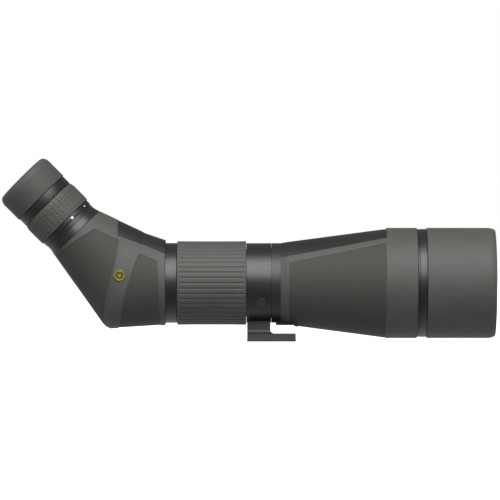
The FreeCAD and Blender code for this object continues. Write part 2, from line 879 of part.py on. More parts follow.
def make_baffles():
    slope = (size.seat_bore - (size.shoulder_radius - size.wall)) / (size.taper_end - size.shoulder)
    rings = []
    for end, x in (("rear", size.baffle_rear), ("front", size.baffle_front)):
        outer = size.shoulder_radius - size.wall + slope * (x - size.shoulder) - size.wall_gap / 2
        rings.append(ring(f"baffle_{end}", x, x + size.baffle_thickness, outer - size.baffle_depth, outer))
    node(on_barrel(group("baffle_pair", rings)), "barrel_baffles")


def make_objective():
    cell = turned("cell_body", [
        (size.cell_rear, size.aperture), (size.cell_rear, size.seat_bore),
        (size.cell_front, size.seat_bore), (size.cell_front, size.cell_bore),
        (size.rear_lens_start, size.cell_bore), (size.rear_lens_start, size.aperture),
    ])
    node(on_barrel(cell), "objective_cell")
    flint = hollow_front("flint", size.rear_lens_start, size.rear_lens_end, size.cell_bore,
                         size.inner_bend)
    node(on_barrel(flint), "objective_rear_lens")
    crown = double_convex("crown", size.front_lens_start, size.front_lens_end, size.cell_bore,
                          size.inner_bend, size.crown_bend)
    node(on_barrel(crown), "objective_front_lens")
    spacer_front = size.front_lens_start + sag(size.inner_bend, size.aperture)
    spacer = ring("spacer_body", size.rear_lens_end, spacer_front, size.aperture, size.cell_bore)
    node(on_barrel(spacer), "lens_spacer")
    keeper_rear = size.front_lens_end - sag(size.crown_bend, size.cell_bore) + size.wall_gap
    keeper = ring("objective_keeper", keeper_rear, size.retainer_front, size.aperture, size.cell_bore)
    node(on_barrel(keeper), "objective_retainer")


def make_hood():
    trim = ring("trim_body", size.trim_rear, size.trim_front, size.seat_radius, size.trim_radius)
    node(on_barrel(trim), "front_trim_ring")
    tube = ring("hood_body", size.hood_rear, size.hood_front - size.hood_lip, size.hood_bore,
                size.hood_tube_radius)
    node(on_barrel(tube), "hood_tube")
    armour = turned("hood_armour_body", [
        (size.hood_rear, size.hood_tube_radius), (size.hood_rear, size.front_radius),
        (size.hood_front - size.hood_corner_length, size.front_radius),
        (size.hood_front, size.front_radius - size.hood_corner_depth),
        (size.hood_front, size.hood_bore),
        (size.hood_front - size.hood_lip, size.hood_bore),
        (size.hood_front - size.hood_lip, size.hood_tube_radius),
    ])
    node(on_barrel(armour), "hood_armour")
    guide = ring("guide_body", size.guide_rear, size.guide_front, size.seat_radius + size.running_gap,
                 size.hood_bore)
    node(on_barrel(guide), "hood_guide_ring")
    seal = o_ring("hood_seal", size.hood_ring_x, size.hood_ring_middle, size.hood_ring_wire)
    node(on_barrel(group("hood_seal_group", [seal])), "hood_o_ring")


# Prism housing


def tilted_section(name, x, height, length, width, tilt):
    """An oval across the housing, its long way up and leaning towards the objective."""
    item = bind(doc.addObject("Part::Ellipse", name), MajorRadius=length, MinorRadius=width)
    return place(item, (x, 0, height), (0, 1, 0), tilt - QUARTER)


def housing_loft(name, inset):
    """The housing's form, drawn in evenly by an inset. An oval's long radius must be the longer one."""
    longer = 0.001
    sections = [
        tilted_section(f"{name}_mouth", size.neck_rear, size.mouth_height, size.mouth_length - inset,
                       size.mouth_width - inset, ZERO),
        tilted_section(f"{name}_lower_mitre", size.lower_mitre_x, size.lower_mitre_height,
                       size.lower_mitre_length - inset, size.lower_mitre_width - inset,
                       size.lower_mitre_tilt),
        tilted_section(f"{name}_upper_mitre", size.upper_mitre_x, size.upper_mitre_height,
                       size.upper_mitre_length - inset, size.upper_mitre_width - inset,
                       size.upper_mitre_tilt),
        tilted_section(f"{name}_port", size.port_x, size.port_height, size.port_radius - inset + longer,
                       size.port_radius - inset, size.port_tilt),
    ]
    loft = doc.addObject("Part::Loft", name)
    loft.Sections = sections
    loft.Solid = True
    loft.Ruled = True
    return loft


def rear_strip(name):
    """The space over the housing's shoulder where the bare casting shows."""
    end = size.neck_rear + HOLE_OVERRUN
    return side_block(name, [
        (size.rear_strip_start, size.rear_strip_start_height),
        (size.rear_strip_bend, size.rear_strip_bend_height),
        (end, size.rear_strip_end_height), (end, FAR), (size.rear_strip_start, FAR),
    ])


def badge_disc(name, base=ZERO):
    return along_y(name, size.badge_x, base + size.badge_height, -size.badge_face,
                   -size.badge_face + size.badge_thickness, size.badge_radius)


def purge_plug(name, base=ZERO):
    plug = cylinder(name, size.purge_radius, size.purge_length)
    return place(plug, (size.purge_x, 0, base - size.purge_face))


def rear_armour_cut(name):
    skin = cut(f"{name}_skin", housing_loft(f"{name}_outer", ZERO),
               housing_loft(f"{name}_inner", size.armour))
    tools = joined(f"{name}_tools", [rear_strip(f"{name}_strip"), badge_disc(f"{name}_badge"),
                                     purge_plug(f"{name}_purge")])
    return cut(name, skin, tools)


def make_housing():
    node(on_barrel(rear_armour_cut("rear_armour_cut")), "rear_armour")
    plate = spanning_box("web_plate", (size.web_rear, -FAR, -FAR), (size.web_front, FAR, FAR))
    hole = along_x("web_hole", size.web_rear - HOLE_OVERRUN, size.web_front + HOLE_OVERRUN, size.web_bore)
    holes = [prism_screw_shank(f"web_screw_hole_{turn}", turn) for turn in PRISM_SCREW_TURNS]
    web = cut("web", plate, joined("web_holes", [hole] + holes))
    cavity = cut("cavity", housing_loft("cavity_loft", size.housing_wall), web)
    solid = cut("housing_solid", housing_loft("housing_loft", size.flush), rear_armour_cut("armour_space"))
    tools = joined("housing_tools", [cavity, badge_disc("badge_space"), purge_plug("purge_space")])
    node(on_barrel(cut("housing_cut", solid, tools)), "prism_housing")
    node(badge_disc("badge_body", size.axis_height), "badge")
    node(purge_plug("purge_body", size.axis_height), "purge_screw")


def prism_screw_place(item, start, turn):
    """Put a screw's cylinder on its circle, along X."""
    radians = math.radians(turn)
    y = size.prism_screw_pitch * math.cos(radians)
    z = size.prism_screw_pitch * math.sin(radians)
    return place(item, (start, y, z), (0, 1, 0), QUARTER)


def prism_screw_shank(name, turn):
    length = size.prism_screw_tip - size.cage_rear
    return prism_screw_place(cylinder(name, size.prism_screw_shank, length), size.cage_rear, turn)


def make_prism():
    diagonal = size.prism_side / math.sqrt(2)
    wedge = side_block("prism_wedge", [
        (size.prism_face, size.prism_apex), (size.prism_face, size.prism_apex - size.prism_side),
        (size.prism_face - diagonal, size.prism_apex - diagonal),
    ], size.prism_half_width * 2)
    low = (size.prism_face, ZERO, size.prism_apex - size.prism_side)
    roof = roof_wedge(low)
    node(on_barrel(shared("prism_solid", [wedge, roof])), "roof_prism")


def roof_wedge(low):
    """A square-edged block whose edge lies along the prism's roof line and faces inwards."""
    body = doc.addObject("PartDesign::Body", "roof_block")
    sketch = add_sketch(body, "roof_section", [(0, 0), (FAR, FAR), (FAR, -FAR)], "XY_Plane")
    mid_pad(body, "roof_pad", sketch, FAR * 2)
    return place(body, low, (0, 1, 0), size.roof_turn)


def make_cage():
    disc = along_x("cage_disc", size.cage_rear, size.web_rear, size.cage_disc_radius)
    inner = size.prism_half_width + size.cage_plate_gap
    outer = inner + size.cage_plate
    front = size.cage_rear + HOLE_OVERRUN
    arms = [
        spanning_box(f"cage_arm_{side}", (size.cage_arm_end, low, size.cage_arm_low),
                     (front, high, size.cage_arm_top))
        for side, low, high in (("far", inner, outer), ("near", -outer, -inner))
    ]
    hole = along_x("cage_hole", size.cage_rear - HOLE_OVERRUN, size.web_rear + HOLE_OVERRUN,
                   size.cage_aperture)
    holes = [prism_screw_shank(f"cage_screw_hole_{turn}", turn) for turn in PRISM_SCREW_TURNS]
    cage = cut("cage_cut", joined("cage_solid", [disc] + arms), joined("cage_holes", [hole] + holes))
    node(on_barrel(cage), "prism_cage")
    bar = spanning_box("clamp_bar", (size.cage_arm_end, -inner, size.clamp_low),
                       (size.cage_arm_end + size.clamp_thickness, inner, size.clamp_low + size.clamp_height))
    node(on_barrel(group("clamp_group", [bar])), "prism_clamp")
    screws = []
    for turn in PRISM_SCREW_TURNS:
        head = cylinder(f"prism_screw_head_{turn}", size.prism_screw_head, size.prism_screw_head_height)
        prism_screw_place(head, size.cage_rear - size.prism_screw_head_height, turn)
        shank = prism_screw_shank(f"prism_screw_shank_{turn}", turn)
        screws.append(joined(f"prism_screw_{turn}", [head, shank]))
    node(on_barrel(group("prism_screw_group", screws)), "prism_screws")


# Eyepiece


def make_eyepiece_frame():
    mount = turned("mount_body", [
        (size.barrel_start, size.barrel_radius), (size.barrel_start, size.spigot_radius),
        (size.port_face, size.spigot_radius), (size.port_face, size.mount_base_radius),
        (size.index_start, size.mount_top_radius), (size.index_start, size.mount_bore),
        (size.web_end, size.mount_bore), (size.web_end, size.barrel_radius),
    ])
    node(on_eyepiece(mount), "eyepiece_mount")
    blank = ring("index_body", size.index_start, size.index_end, size.mount_bore, size.index_radius)
    node(on_eyepiece(cut("index_cut", blank, joined("mark_spaces", marks("space")))), "index_ring")
    node(on_eyepiece(group("mark_group", marks("body"))), "index_marks")
    tube = ring("eyepiece_tube", size.barrel_start, size.barrel_end, size.barrel_bore, size.barrel_radius)
    node(on_eyepiece(cut("eyepiece_tube_cut", tube, joined("zoom_slots", zoom_slots()))), "eyepiece_barrel")
    top = turned("upper_ring_body", [
        (size.ring_start, size.barrel_radius), (size.ring_start, size.ring_radius),
        (size.ring_end, size.ring_radius), (size.ring_end, size.neck_outer),
        (size.neck_end, size.neck_outer), (size.neck_end, size.barrel_radius),
    ])
    node(on_eyepiece(top), "upper_ring")
    stop = ring("stop_body", size.field_stop_start, size.field_stop_start + size.field_stop_thickness,
                size.field_stop_bore, size.barrel_bore)
    node(on_eyepiece(stop), "field_stop")


def marks(use):
    """Two round marks let into the index ring, each at an angle above the near side."""
    start = size.mark_start
    return [
        place(cylinder(f"{name}_{use}", radius, size.mark_length),
              (size.mark_place, -start * cosine(angle), -start * sine(angle)), (1, 0, 0), angle + QUARTER)
        for name, angle, radius in (("dot", size.dot_angle, size.dot_radius),
                                    ("tick", size.tick_angle, size.tick_radius))
    ]


def zoom_slots():
    """Straight slots that stop the two groups from turning: the front one far, the rear one near."""
    half = size.zoom_pin_radius + size.zoom_slot_gap
    middle = size.group_length / 2
    front = size.front_group_start + middle
    rear = size.rear_group_start + middle
    beyond = size.barrel_radius + HOLE_OVERRUN
    return [
        spanning_box("front_slot", (front - half, ZERO, -half),
                     (front + size.front_group_travel + half, beyond, half)),
        spanning_box("rear_slot", (rear - size.rear_group_travel - half, -beyond, -half),
                     (rear + half, ZERO, half)),
    ]


def make_zoom_ring():
    sleeve_bore = size.barrel_radius + size.running_gap
    sleeve = ring("cam_body", size.cam_start, size.grip_end, sleeve_bore, size.cam_radius)
    half = size.zoom_pin_radius + size.zoom_slot_gap
    middle = size.group_length / 2
    turns = size.slot_turn / 360
    share = size.slot_lead_in / size.zoom_turn
    beyond = size.cam_radius + HOLE_OVERRUN
    within = size.barrel_bore
    start = size.front_group_start + middle - size.front_group_travel * share
    rise = size.front_group_travel * size.slot_turn / size.zoom_turn
    helical_groove(sleeve, "front_cam", [
        (start - half, within), (start - half, beyond), (start + half, beyond), (start + half, within),
    ], rise / turns, rise, True, False)
    start = size.rear_group_start + middle + size.rear_group_travel * share
    rise = size.rear_group_travel * size.slot_turn / size.zoom_turn
    helical_groove(sleeve, "rear_cam", [
        (start - half, -within), (start - half, -beyond), (start + half, -beyond), (start + half, -within),
    ], rise / turns, rise, False, True)
    place(sleeve, axis=(1, 0, 0), turn=size.slot_lead_in)
    node(on_eyepiece(group("cam_turned", [sleeve])), "zoom_cam_sleeve")
    metal = ring("zoom_ring_body", size.grip_start, size.grip_end, size.cam_radius, size.zoom_ring_radius)
    node(on_eyepiece(metal), "zoom_ring")
    grip = turned("zoom_grip_body", [
        (size.grip_start, size.zoom_ring_radius), (size.grip_start, size.zoom_grip_end_radius),
        (size.grip_start + size.zoom_grip_shoulder, size.zoom_grip_radius),
        (size.grip_end - size.zoom_grip_shoulder, size.zoom_grip_radius),
        (size.grip_end, size.zoom_grip_end_radius), (size.grip_end, size.zoom_ring_radius),
    ])
    node(on_eyepiece(grip), "zoom_grip")


def make_zoom_group(name, start, far_side):
    outer = size.barrel_bore - size.group_clearance
    blank = ring(f"{name}_cell_body", start, start + size.group_length, size.group_bore, outer)
    middle = start + size.group_length / 2
    near, far = ((size.zoom_pin_start, size.zoom_pin_end) if far_side
                 else (-size.zoom_pin_end, -size.zoom_pin_start))
    hole = along_y(f"{name}_pin_hole", middle, 0, near, far, size.zoom_pin_radius)
    node(on_eyepiece(cut(f"{name}_cell_cut", blank, hole)), f"{name}_cell")
    pin = group(f"{name}_pin_body", [along_y(f"{name}_pin_rod", middle, 0, near, far, size.zoom_pin_radius)])
    node(on_eyepiece(pin), f"{name}_pin")
    lens = double_convex(f"{name}_lens_body", start + size.group_lens_inset,
                         start + size.group_length - size.group_lens_inset, size.group_bore,
                         size.group_lens_bend, size.group_lens_bend)
    node(on_eyepiece(lens), f"{name}_lens")


def make_eye_lens():
    seat = size.eye_lens_radius - size.eye_seat_lip
    cell = turned("eye_cell_body", [
        (size.barrel_end, seat), (size.barrel_end, size.barrel_radius),
        (size.eye_cell_end, size.barrel_radius), (size.eye_cell_end, size.eye_lens_radius),
        (size.eye_lens_start, size.eye_lens_radius), (size.eye_lens_start, seat),
    ])
    node(on_eyepiece(cell), "eye_lens_cell")
    lens = double_convex("eye_lens_body", size.eye_lens_start, size.eye_lens_end, size.eye_lens_radius,
                         size.eye_lens_bend, size.eye_lens_bend)
    node(on_eyepiece(lens), "eye_lens")


def make_eyecup():
    cam_bore = size.neck_outer + size.running_gap
    cam = ring("cup_cam_body", size.cam_ring_start, size.cam_ring_end, cam_bore, size.cam_ring_radius)
    node(on_eyepiece(cam), "eyecup_cam_ring")
    sleeve_bore = size.cam_ring_radius + size.running_gap
    sleeve = turned("cup_sleeve_body", [
        (size.sleeve_start, sleeve_bore), (size.sleeve_start, size.sleeve_radius),
        (size.sleeve_end, size.sleeve_radius), (size.sleeve_end, size.cup_opening),
        (size.sleeve_end - size.sleeve_lip, size.cup_opening),
        (size.sleeve_end - size.sleeve_lip, sleeve_bore),
    ])
    node(on_eyepiece(sleeve), "eyecup_sleeve")
    cup = turned("cup_body", [
        (size.cup_start, size.sleeve_radius), (size.cup_start, size.cup_radius),
        (size.cup_end - size.cup_corner, size.cup_radius),
        (size.cup_end - size.cup_corner_step, size.cup_radius - size.cup_corner_step),
        (size.cup_end, size.cup_radius - size.cup_corner),
        (size.cup_end, size.cup_opening + size.cup_corner),
        (size.sleeve_end, size.cup_opening), (size.sleeve_end, size.sleeve_radius),
    ])
    node(on_eyepiece(cup), "eyecup_rubber")


# Build, check and write


def check_document():
    for item in doc.Objects:
        if "Invalid" in item.State or "Error" in item.State:
            raise RuntimeError(f"{item.Name} ({item.Label}): {item.State}")
    for item in nodes:
        if item.Shape.isNull() or not item.Shape.isValid() or not item.Shape.Solids:
            raise RuntimeError(f"{item.Label} has no valid solid")
        print(f"{item.Label}: {len(item.Shape.Solids)} solid(s), {item.Shape.Volume:.1f} mm3")


def write_steps():
    os.makedirs("parts", exist_ok=True)
    for item in nodes:
        item.Shape.exportStep(f"parts/{item.Label}.step")
    print(f"{len(nodes)} nodes written")


make_collar()
make_foot()
make_thread_insert()
make_lock()
make_detent()
make_main_tube()
make_neck()
make_focus_ring()
make_focus_carriage()
make_barrel()
make_baffles()
make_objective()
make_hood()
make_housing()
make_prism()
make_cage()
make_eyepiece_frame()
make_zoom_ring()
make_zoom_group("front_group", size.front_group_start, far_side=True)
make_zoom_group("rear_group", size.rear_group_start, far_side=False)
make_eye_lens()
make_eyecup()
doc.recompute()
check_document()
write_steps()
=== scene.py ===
"""Looks of an angled spotting scope: moulded rubber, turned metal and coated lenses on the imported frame."""

import math

import bmesh
import bpy
import numpy as np
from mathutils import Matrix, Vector


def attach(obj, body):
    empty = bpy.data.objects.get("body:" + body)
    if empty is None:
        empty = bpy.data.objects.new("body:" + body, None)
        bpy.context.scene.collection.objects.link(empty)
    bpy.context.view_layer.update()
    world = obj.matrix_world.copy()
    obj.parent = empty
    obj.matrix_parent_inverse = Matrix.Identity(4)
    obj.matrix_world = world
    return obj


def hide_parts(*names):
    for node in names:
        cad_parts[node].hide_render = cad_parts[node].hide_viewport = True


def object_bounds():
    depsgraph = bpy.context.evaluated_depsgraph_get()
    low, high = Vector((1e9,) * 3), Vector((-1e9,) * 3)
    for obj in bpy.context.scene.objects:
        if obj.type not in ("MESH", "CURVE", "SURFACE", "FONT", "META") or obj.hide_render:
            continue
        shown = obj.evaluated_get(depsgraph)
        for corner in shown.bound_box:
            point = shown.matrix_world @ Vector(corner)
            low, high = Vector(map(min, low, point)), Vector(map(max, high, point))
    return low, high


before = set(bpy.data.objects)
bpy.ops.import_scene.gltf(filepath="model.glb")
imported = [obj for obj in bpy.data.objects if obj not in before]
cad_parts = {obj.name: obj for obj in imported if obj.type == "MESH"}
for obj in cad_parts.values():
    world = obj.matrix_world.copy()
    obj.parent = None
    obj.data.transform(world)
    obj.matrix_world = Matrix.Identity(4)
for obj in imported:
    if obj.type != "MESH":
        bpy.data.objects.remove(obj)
cad_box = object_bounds()

MM = 0.001
TURN = 2 * math.pi
QUARTER = math.pi / 2


# Axes: distances along, radii and angles, in millimetres. Angle 0 is the near side and 90 degrees the top.


class Axis:
    """A line that turned pieces are built round."""

    def __init__(self, origin, along, up):
        self.origin = np.array(origin, float)
        self.along = np.array(along, float)
        self.up = np.array(up, float)
        self.near = np.cross(self.along, self.up)

    def points(self, along, radius, angle):
        out = np.multiply.outer(np.cos(angle), self.near) + np.multiply.outer(np.sin(angle), self.up)
        return self.origin + np.multiply.outer(along, self.along) + out * np.asarray(radius)[..., None]


AXIS_HEIGHT = 51.7
SLOPE = math.sqrt(0.5)
BARREL = Axis((0, 0, AXIS_HEIGHT), (1, 0, 0), (0, 0, 1))
EYEPIECE = Axis((-129.43, 0, 52.27), (-SLOPE, 0, SLOPE), (SLOPE, 0, SLOPE))


# Small shaping functions


def smooth(value):
    value = np.clip(value, 0, 1)
    return value * value * (3 - 2 * value)


def edge_round(distance, radius):
    """How far a rounded edge falls away, at a distance in from it."""
    short = np.clip(radius - distance, 0, radius)
    return radius - np.sqrt(radius**2 - short**2)


def both_within(distances, corner):
    """Distance in from the nearest of several borders, with its corners rounded."""
    short = [np.clip(corner - distance, 0, None) for distance in distances]
    return corner - np.sqrt(sum(s**2 for s in short))


FINE_STEPS = (0.0, 0.07, 0.2, 0.4, 0.7)


def spaced(start, end, step, fine_start=True, fine_end=True):
    """Stations from start to end about a step apart, closer together at the ends that are rounded."""
    low = [start + f for f in FINE_STEPS] if fine_start else [start]
    high = [end - f for f in reversed(FINE_STEPS)] if fine_end else [end]
    count = max(1, round((high[0] - low[-1]) / step))
    return low[:-1] + list(np.linspace(low[-1], high[0], count + 1)) + high[1:]


def rounded(corners):
    """A closed outline from (along, radius, corner radius), its corners drawn as arcs."""
    outline = []
    for k, (x, r, size) in enumerate(corners):
        here = Vector((x, r))
        before = Vector(corners[k - 1][:2]) - here
        after = Vector(corners[(k + 1) % len(corners)][:2]) - here
        if size == 0:
            outline.append(tuple(here))
            continue
        half = before.angle(after) / 2
        reach = size / math.tan(half)
        centre = here + (before.normalized() + after.normalized()).normalized() * (size / math.sin(half))
        first, last = here + before.normalized() * reach - centre, here + after.normalized() * reach - centre
        for t in np.linspace(0, 1, 6):
            outline.append(tuple(centre + first.slerp(last, t) * size))
    return outline


# Making pieces


def make_piece(name, points, faces, finish, body, replaced, crease=38.0, marks=None):
    """A mesh piece in place of CAD nodes. Its material reads the marks, which are a value at each point."""
    mesh = bpy.data.meshes.new(name)
    mesh.from_pydata((np.asarray(points) * MM).tolist(), [], faces)
    # The recess layer holds how far in each point lies; the rubber materials paint shade from it.
    if marks is not None:
        layer = mesh.attributes.new("recess", "FLOAT", "POINT")
        layer.data.foreach_set("value", np.asarray(marks, np.float32))
    work = bmesh.new()
    work.from_mesh(mesh)
    bmesh.ops.delete(work, geom=[v for v in work.verts if not v.link_faces], context="VERTS")
    bmesh.ops.remove_doubles(work, verts=work.verts, dist=1e-6)
    bmesh.ops.recalc_face_normals(work, faces=work.faces)
    work.to_mesh(mesh)
    work.free()
    mesh.shade_smooth()
    mesh.set_sharp_from_angle(angle=math.radians(crease))
    piece = bpy.data.objects.new(name, mesh)
    bpy.context.scene.collection.objects.link(piece)
    mesh.materials.append(materials[finish])
    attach(piece, body)
    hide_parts(*replaced)
    return piece


def lathe(name, axis, profile, segments, finish, body, replaced, relief=None, crease=38.0):
    """A ring turned from a closed outline. Relief(along, angle, radius) moves points in or out."""
    profile = np.array(profile, float)
    angle = np.arange(segments) * TURN / segments
    along = np.repeat(profile[:, :1], segments, axis=1)
    radius = np.repeat(profile[:, 1:], segments, axis=1)
    angle = np.broadcast_to(angle, radius.shape)
    marks = None
    if relief is not None:
        change = relief(along, angle, radius)
        radius = radius + change
        # How deep each point is pushed in; the rubbers darken it as painted shade.
        marks = np.clip(-change.ravel(), 0, 1)
    points = axis.points(along, radius, angle).reshape(-1, 3)
    count = len(profile)
    faces = []
    for i in range(count):
        a, b = i * segments, (i + 1) % count * segments
        for j in range(segments):
            k = (j + 1) % segments
            faces.append((a + j, a + k, b + k, b + j))
    return make_piece(name, points, faces, finish, body, replaced, crease, marks)


def skin(name, outer, inner, rows, columns, filled, finish, body, replaced, marks):
    """A moulded sheet: a fine outer grid, a coarser back of the rows and columns kept, and edge walls."""
    n_rows, n_columns = outer.shape[:2]
    back_start = n_rows * n_columns

    def front(i, j):
        return i * n_columns + j % n_columns

    def back(i, j):
        return back_start + front(i, j)

    faces = [
        (front(i, j), front(i, j + 1), front(i + 1, j + 1), front(i + 1, j))
        for i in range(n_rows - 1)
        for j in range(n_columns)
        if filled(i, j)
    ]
    columns = columns + [n_columns]
    for a, b in zip(rows, rows[1:]):
        for c, d in zip(columns, columns[1:]):
            if not filled(a, c):
                continue
            faces.append((back(a, c), back(b, c), back(b, d), back(a, d)))
            across, down = range(c, d + 1), range(a, b + 1)
            if a == 0 or not filled(a - 1, c):
                faces.append([front(a, j) for j in across] + [back(a, d), back(a, c)])
            if b == n_rows - 1 or not filled(b, c):
                faces.append([front(b, j) for j in across] + [back(b, d), back(b, c)])
            if not filled(a, c - 1):
                faces.append([front(i, c) for i in down] + [back(b, c), back(a, c)])
            if not filled(a, d):
                faces.append([front(i, d) for i in down] + [back(b, d), back(a, d)])
    points = np.concatenate([outer.reshape(-1, 3), inner.reshape(-1, 3)])
    marks = np.concatenate([marks.ravel(), np.zeros(marks.size)])
    return make_piece(name, points, faces, finish, body, replaced, 50.0, marks)


def kept_every(count, step, also):
    """Grid lines that the back of a skin keeps: every so many, and those where the skin starts or stops."""
    return sorted(set(range(0, count, step)) | set(also))


# Materials


class Graph:
    """A material's nodes, joined with few words."""

    def __init__(self, name):
        self.material = bpy.data.materials.new(name)
        self.material.use_nodes = True
        self.nodes = self.material.node_tree.nodes
        self.links = self.material.node_tree.links
        self.shader = self.nodes["Principled BSDF"]
        self.place = self.add("ShaderNodeTexCoord").outputs["Object"]

    def add(self, kind, **settings):
        item = self.nodes.new(kind)
        for key, value in settings.items():
            setattr(item, key, value)
        return item

    def join(self, source, target):
        self.links.new(source, target)

    def noise(self, scale, detail=2.0, stretch=None):
        item = self.add("ShaderNodeTexNoise")
        item.inputs["Scale"].default_value = scale
        item.inputs["Detail"].default_value = detail
        if stretch is None:
            self.join(self.place, item.inputs["Vector"])
        else:
            mapping = self.add("ShaderNodeMapping")
            mapping.inputs["Scale"].default_value = stretch
            self.join(self.place, mapping.inputs["Vector"])
            self.join(mapping.outputs["Vector"], item.inputs["Vector"])
        return item.outputs["Fac"]

    def spread(self, value, low, high, start=0.3, end=0.7):
        """A value from a texture, moved to run between two others."""
        item = self.add("ShaderNodeMapRange")
        for key, number in (("From Min", start), ("From Max", end), ("To Min", low), ("To Max", high)):
            item.inputs[key].default_value = number
        self.join(value, item.inputs["Value"])
        return item.outputs["Result"]

    def mix(self, factor, first, second):
        item = self.add("ShaderNodeMix", data_type="RGBA")
        for key, colour in (("A", first), ("B", second)):
            socket = next(s for s in item.inputs if s.name == key and s.type == "RGBA")
            if isinstance(colour, tuple):
                socket.default_value = (*colour, 1)
            else:
                self.join(colour, socket)
        self.join(factor, item.inputs[0])
        return next(s for s in item.outputs if s.type == "RGBA")

    def bumped(self, *layers):
        """Bumps laid over each other, each a (height, strength, distance)."""
        normal = None
        for height, strength, distance in layers:
            item = self.add("ShaderNodeBump")
            item.inputs["Strength"].default_value = strength
            item.inputs["Distance"].default_value = distance
            self.join(height, item.inputs["Height"])
            if normal is not None:
                self.join(normal, item.inputs["Normal"])
            normal = item.outputs["Normal"]
        self.join(normal, self.shader.inputs["Normal"])

    def set(self, **values):
        for key, value in values.items():
            self.shader.inputs[key.replace("_", " ")].default_value = value


def shade(colour, factor):
    return tuple(c * factor for c in colour)


def rubber(name, colour, roughness, painted_recess_shade=1.0):
    """Moulded rubber: fine grain and faint mottling, its recesses drawn darker and duller as painted shade.
    """
    graph = Graph(name)
    mottle = graph.noise(55, 3)
    grain = graph.noise(1500, 2)
    base = graph.mix(graph.spread(mottle, 0, 1), shade(colour, 0.94), shade(colour, 1.06))
    base = graph.mix(graph.spread(grain, 0, 0.3), base, shade(colour, 1.3))
    if painted_recess_shade < 1:
        # Painted shade: points marked as recessed (panels, grooves and dimples alike) are darkened and given
        # less shine.
        low = graph.add("ShaderNodeAttribute", attribute_name="recess").outputs["Fac"]
        base = graph.mix(graph.spread(low, 0, 1, 0.0, 1.0), base, shade(colour, painted_recess_shade))
        graph.join(graph.spread(low, 0.5, 0.2, 0.0, 1.0), graph.shader.inputs["Specular IOR Level"])
    graph.join(base, graph.shader.inputs["Base Color"])
    graph.join(graph.spread(grain, roughness - 0.05, roughness + 0.06), graph.shader.inputs["Roughness"])
    graph.bumped((graph.noise(2600, 2), 0.25, 0.0002), (graph.noise(420, 2), 0.12, 0.0003))
    graph.set(Sheen_Weight=0.04, Sheen_Roughness=0.5)
    return graph.material


def black_metal(name, colour, roughness, grain_scale):
    """Anodised metal: blasted or cast grain under faint blotches."""
    graph = Graph(name)
    grain = graph.noise(grain_scale, 3)
    cloud = graph.noise(40, 3)
    base = graph.mix(graph.spread(cloud, 0, 1), shade(colour, 0.85), shade(colour, 1.2))
    graph.join(base, graph.shader.inputs["Base Color"])
    graph.join(graph.spread(grain, roughness - 0.04, roughness + 0.06), graph.shader.inputs["Roughness"])
    graph.bumped((grain, 0.14, 0.0001))
    graph.set(Specular_IOR_Level=0.6)
    return graph.material


def bare_metal(name, colour, roughness):
    """Ground or blackened steel."""
    graph = Graph(name)
    marks = graph.noise(1.0, 3, (300, 2600, 300))
    base = graph.mix(graph.spread(marks, 0, 1), shade(colour, 0.8), shade(colour, 1.15))
    graph.join(base, graph.shader.inputs["Base Color"])
    graph.join(graph.spread(marks, roughness - 0.06, roughness + 0.08), graph.shader.inputs["Roughness"])
    graph.bumped((marks, 0.15, 0.0001))
    graph.set(Metallic=1.0)
    return graph.material


def plastic(name, colour, roughness):
    """Moulded plastic or paint with a fine spark-eroded grain."""
    graph = Graph(name)
    grain = graph.noise(1800, 2)
    base = graph.mix(graph.spread(grain, 0, 1), shade(colour, 0.88), shade(colour, 1.12))
    graph.join(base, graph.shader.inputs["Base Color"])
    graph.join(graph.spread(grain, roughness - 0.06, roughness + 0.06), graph.shader.inputs["Roughness"])
    graph.bumped((grain, 0.2, 0.00015))
    return graph.material


def inner_black(name):
    """Matt black inside surfaces, cut with fine glare-stopping grooves."""
    graph = Graph(name)
    wave = graph.add("ShaderNodeTexWave", wave_type="BANDS", bands_direction="X")
    wave.inputs["Scale"].default_value = 320
    graph.join(graph.place, wave.inputs["Vector"])
    cloud = graph.noise(300, 2)
    base = graph.mix(graph.spread(cloud, 0, 1), (0.006, 0.006, 0.006), (0.014, 0.014, 0.014))
    graph.join(base, graph.shader.inputs["Base Color"])
    graph.join(graph.spread(cloud, 0.6, 0.75), graph.shader.inputs["Roughness"])
    graph.bumped((wave.outputs["Fac"], 0.35, 0.0002))
    return graph.material


def glass(name):
    """A coated lens."""
    graph = Graph(name)
    cloud = graph.noise(30, 2)
    tint = graph.mix(graph.spread(cloud, 0, 1), (0.93, 0.97, 0.95), (0.9, 0.95, 0.98))
    graph.join(tint, graph.shader.inputs["Base Color"])
    graph.join(graph.spread(graph.noise(900, 1), 0.005, 0.02), graph.shader.inputs["Roughness"])
    graph.set(Transmission_Weight=1.0, IOR=1.52, Thin_Film_Thickness=330.0, Thin_Film_IOR=1.38)
    return graph.material


